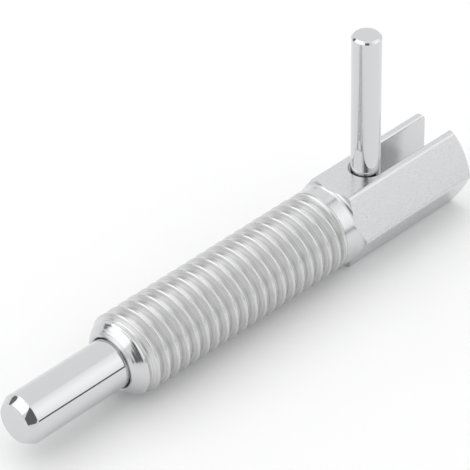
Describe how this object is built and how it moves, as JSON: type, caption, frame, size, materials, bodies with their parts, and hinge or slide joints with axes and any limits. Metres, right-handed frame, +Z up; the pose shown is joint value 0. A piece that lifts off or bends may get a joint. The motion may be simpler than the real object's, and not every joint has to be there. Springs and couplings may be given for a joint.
{
  "type": "indexing plunger",
  "caption": "Spring-loaded locking pin in a threaded hexagon body, drawn back by a straight handle that runs in an open slot.",
  "frame": {"origin": "centre of the body's front face, on the axis of the locking pin", "axes": "+X along the axis from the nose to the hexagon head, +Z up along the handle"},
  "size_m": [0.067, 0.0114, 0.0282],
  "materials": {
    "body_steel": "bright zinc plate, satin",
    "pin_steel": "ground and plated, glossy",
    "handle_steel": "ground and plated, glossy",
    "spring_steel": "drawn wire"
  },
  "bodies": {
    "body": {"body": "body_steel", "spring": "spring_steel"},
    "plunger": {"index_pin": "pin_steel", "handle_pin": "handle_steel"}
  },
  "joints": [
    {"name": "plunger_pull", "type": "slide", "parent": "body", "child": "plunger", "axis": [1, 0, 0], "range_m": [0, 0.014], "stiffness_N_per_m": 1760, "springref_m": -0.0057, "deforming": ["spring"]}
  ]
}
